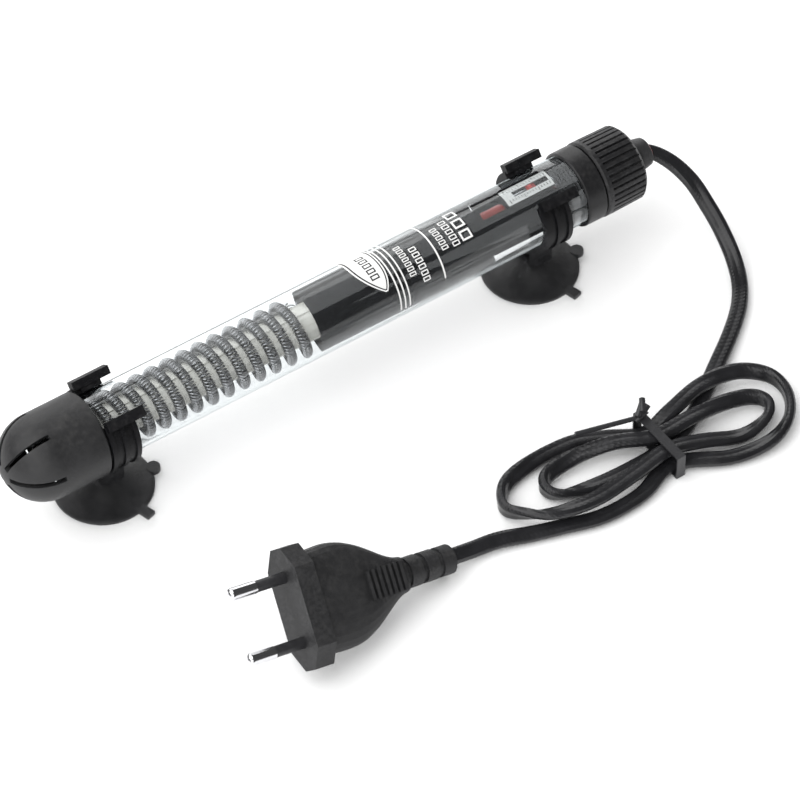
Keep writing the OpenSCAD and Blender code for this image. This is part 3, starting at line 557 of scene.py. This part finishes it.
def decal(name, outlines, radius, material, thickness=INK):
    """Thin patches around the tube's axis, each a strip of (degrees, x from, x to) rows."""
    vertices, faces = [], []
    for rows in outlines:
        start = len(vertices)
        for degrees, x0, x1 in rows:
            for r in (radius, radius + thickness):
                vertices.append(on_tube(x0, degrees, r))
                vertices.append(on_tube(x1, degrees, r))
        for i in range(len(rows) - 1):
            a, b = start + 4 * i, start + 4 * (i + 1)
            faces.append((a + 2, a + 3, b + 3, b + 2))
            faces.append((a + 1, a, b, b + 1))
            faces.append((a, a + 2, b + 2, b))
            faces.append((a + 3, a + 1, b + 1, b + 3))
        e = start + 4 * (len(rows) - 1)
        faces.append((start, start + 1, start + 3, start + 2))
        faces.append((e + 1, e, e + 2, e + 3))
    mesh_piece(name, vertices, faces, material, "heater", smooth=False)


def band(degrees0, degrees1, x0, x1):
    """A patch between two angles and two places along the tube."""
    rows = math.ceil(abs(degrees1 - degrees0) / BAND_STEP)
    return [(degrees0 + (degrees1 - degrees0) * i / rows, x0, x1) for i in range(rows + 1)]


def outline(degrees0, degrees1, x0, x1, line):
    """A box drawn as four thin lines."""
    turn = math.degrees(line / TUBE_R)
    return [band(degrees0, degrees1, x0, x0 + line), band(degrees0, degrees1, x1 - line, x1),
            band(degrees0, degrees0 + turn, x0, x1), band(degrees1 - turn, degrees1, x0, x1)]


BOX_SHARE = 0.74  # part of the pitch that a box takes


def stand_in_row(degrees0, degrees1, x0, x1, count, line):
    """A row of plain boxes that stands for a printed line without spelling anything."""
    pitch = (degrees1 - degrees0) / count
    patches = []
    for k in range(count):
        start = degrees0 + pitch * k
        end = degrees0 + pitch * (k + BOX_SHARE)
        patches += outline(start, end, x0, x1, line)
    return patches


BADGE_ROWS = 72
BADGE_FROM, BADGE_TO = -50.0, 51.0
BADGE_LEFT, BADGE_RIGHT = 87.2, 96.8
BADGE_LINE_INSET, BADGE_FACE_INSET = 0.45, 0.85
BADGE_TAPER_FROM = -10.0
BADGE_TAPER_LEFT, BADGE_TAPER_RIGHT = 6.6, 2.2
BADGE_SLANT = 1.3  # the inset grows on the slanted side


def badge(inset):
    """Quarter-oval patch with a straight side toward the head, shrunk by inset."""
    low, high = BADGE_FROM, BADGE_TO - math.degrees(inset / TUBE_R)
    rows = []
    for i in range(BADGE_ROWS + 1):
        degrees = low + (high - low) * i / BADGE_ROWS
        share = max(0.0, (degrees - BADGE_TAPER_FROM) / (BADGE_TO - BADGE_TAPER_FROM))
        left = BADGE_LEFT + BADGE_TAPER_LEFT * share ** 2.2 + BADGE_SLANT * inset
        right = BADGE_RIGHT - BADGE_TAPER_RIGHT * max(0.0, degrees / BADGE_TO) ** 3 - inset
        rows.append((degrees, min(left, right - 0.1), right))
    return rows


# Rings as (degrees to, x, width); all start at RING_FROM.
RING_FROM = -50
RINGS = [(96, 97.3, 0.5), (96, 98.9, 0.5), (96, 100.5, 0.5), (76, 113.3, 0.55)]
# Rows of boxes as (degrees from, degrees to, x from, x to, boxes, line width).
BADGE_BOXES = (-27, 30, 91.4, 94.2, 5, 0.42)
RATING_BOXES = [
    (-8, 50, 102.8, 105.0, 7, 0.32),
    (6, 68, 106.4, 108.8, 6, 0.36),
    (-8, 36, 115.7, 117.9, 5, 0.32),
    (-14, 39, 119.4, 121.8, 5, 0.34),
    (-26, 41, 122.8, 126.4, 3, 0.6),
]


def glass_prints():
    """Badge, rings and rating block printed on the glass, all without lettering."""
    ink_r = TUBE_R + INK_GAP
    decal("badge_line", [badge(BADGE_LINE_INSET)], ink_r + INK_LAYER, INK_BLACK)
    decal("badge_face", [badge(BADGE_FACE_INSET)], ink_r + 2 * INK_LAYER, INK_WHITE)
    decal("badge_marks", stand_in_row(*BADGE_BOXES), ink_r + 3 * INK_LAYER, INK_BLACK)
    patches = [badge(0)]
    patches += [band(RING_FROM, end, x, x + width) for end, x, width in RINGS]
    for row in RATING_BOXES:
        patches += stand_in_row(*row)
    decal("glass_print", patches, ink_r, INK_WHITE)


glass_prints()

TICKS = 15
TICK_PITCH = 1.02
TICK_WIDTH = 0.22
TICK_START = 1.2
TICK_FROM, TICK_SHORT, TICK_LONG = 8, 12.5, 15.5
TICK_GAP = 0.005
TICK_THICKNESS = 0.02


def scale_marks():
    """Tick lines on both sides of the scale card's slot, long ones every fifth."""
    low, high = node_box("scale_card")
    card_r = high.z - AXIS_Z
    ticks = []
    for k in range(TICKS):
        x = low.x + TICK_START + TICK_PITCH * k
        reach = TICK_LONG if k % 5 == 0 else TICK_SHORT
        ticks.append(band(TICK_FROM, reach, x, x + TICK_WIDTH))
        ticks.append(band(-reach, -TICK_FROM, x, x + TICK_WIDTH))
    decal("scale_ticks", ticks, card_r + TICK_GAP, INK_BLACK, TICK_THICKNESS)


scale_marks()

# Angles, end gap, thickness and depth of the painted-shade sheet inside the glass.
FILM_FROM, FILM_TO = 173, 275
FILM_END_GAP = 0.3
FILM_THICKNESS = 0.08
FILM_DEPTH = 0.14  # from the bore to the film's inner side


def painted_shade_film():
    """Dark sheet that lines the lower and far side of the glass beside the thermostat: painted
    shade, standing in for the dark seen through the glass there.
    """
    x0 = node_box("liner_sleeve")[1].x + FILM_END_GAP
    x1 = node_box("thermostat_frame")[1].x - FILM_END_GAP
    strip = band(FILM_FROM, FILM_TO, x0, x1)
    decal("painted_shade_film", [strip], BORE_R - FILM_DEPTH, SHADE_FILM_GREY, FILM_THICKNESS)


painted_shade_film()


SEAL_BORE_R, SEAL_R = 2.75, 3.5
SEAL_DEPTH, SEAL_PROUD, SEAL_CROWN = 1.2, 0.35, 0.1
SEAL_SIDES = 64


def mouth_seal():
    """Red seal in the mouth of the cord boot."""
    mouth_x = node_box("cord_boot")[1].x
    x0, x1 = mouth_x - SEAL_DEPTH, mouth_x + SEAL_PROUD
    crown = (x1 + SEAL_CROWN, (SEAL_BORE_R + SEAL_R) / 2)
    profile = [(x0, SEAL_R), (x0, SEAL_BORE_R), (x1, SEAL_BORE_R), crown, (x1, SEAL_R)]
    lathe("cord_seal", profile, SEAL_SIDES, MATERIALS["seal_red"], "heater")


mouth_seal()


# ---------- studio ----------


LIGHT_AIM = (0.09, -0.03, 0.01)
# Rectangular lamps in metres and watts: name, place, size, power.
LIGHTS = [
    ("key", (-0.45, 0.15, 0.9), (1.2, 1.2), 10),
    ("fill", (-0.75, -0.8, 0.5), (1.0, 1.0), 6),
    ("rim", (0.35, 0.9, 0.5), (1.4, 0.7), 6),
]
WORLD_LIGHT = 0.8
WORLD_MIRRORED = 0.07
FLOOR_HALF = 4
FLOOR_Z = -0.0002


def area_light(name, place, size, power):
    """A rectangular lamp turned toward the heater."""
    data = bpy.data.lights.new(name, "AREA")
    data.shape = "RECTANGLE"
    data.size, data.size_y = size
    data.energy = power
    lamp = bpy.data.objects.new(name, data)
    SCENE.collection.objects.link(lamp)
    lamp.location = place
    lamp.rotation_euler = (Vector(LIGHT_AIM) - Vector(place)).to_track_quat("-Z", "Y").to_euler()


def studio_floor():
    """A large sheet of paper just under the heater."""
    mesh = bpy.data.meshes.new("studio_floor")
    h = FLOOR_HALF
    mesh.from_pydata([(-h, -h, 0), (h, -h, 0), (h, h, 0), (-h, h, 0)], [], [(0, 1, 2, 3)])
    mesh.materials.append(floor_paper())
    floor = bpy.data.objects.new("studio_floor", mesh)
    SCENE.collection.objects.link(floor)
    floor.location.z = FLOOR_Z


def studio_world():
    """White surroundings that light the object fully but show only weakly in its mirror images."""
    world = bpy.data.worlds.new("studio_world")
    SCENE.world = world
    world.use_nodes = True
    tree = world.node_tree
    path = tree.nodes.new("ShaderNodeLightPath")
    mirrored = tree.nodes.new("ShaderNodeMath")
    mirrored.operation = "SUBTRACT"
    mirrored.use_clamp = True
    tree.links.new(path.outputs["Is Glossy Ray"], mirrored.inputs[0])
    tree.links.new(path.outputs["Is Transmission Ray"], mirrored.inputs[1])
    strength = tree.nodes.new("ShaderNodeMapRange")
    strength.inputs["To Min"].default_value = WORLD_LIGHT
    strength.inputs["To Max"].default_value = WORLD_MIRRORED
    tree.links.new(mirrored.outputs[0], strength.inputs["Value"])
    background = tree.nodes["Background"]
    background.inputs["Color"].default_value = (1, 1, 1, 1)
    tree.links.new(strength.outputs["Result"], background.inputs["Strength"])


AZIMUTH, ELEVATION = -34.6, 48.5
TARGET = Vector((89.8, -21.5, 0))
DISTANCE = 1600
LENS = 244.4
SENSOR = 36
CLIP_END = 20


def camera():
    """The eye, looking down at the heater from the near side of its tip."""
    az, el = math.radians(AZIMUTH), math.radians(ELEVATION)
    toward = Vector((math.sin(az) * math.cos(el), -math.cos(az) * math.cos(el), math.sin(el)))
    data = bpy.data.cameras.new("camera")
    data.lens = LENS
    data.sensor_width = SENSOR
    data.clip_end = CLIP_END
    eye = bpy.data.objects.new("camera", data)
    SCENE.collection.objects.link(eye)
    eye.location = (TARGET + toward * DISTANCE) * MM
    eye.rotation_euler = (-toward).to_track_quat("-Z", "Y").to_euler()
    SCENE.camera = eye


studio_floor()
studio_world()
for light in LIGHTS:
    area_light(*light)
camera()
SCENE.view_settings.view_transform = "Standard"
# Denoised from colour only: the other passes leave a grain on the clear glass.
SCENE.cycles.use_denoising = True
SCENE.cycles.denoising_input_passes = "RGB"
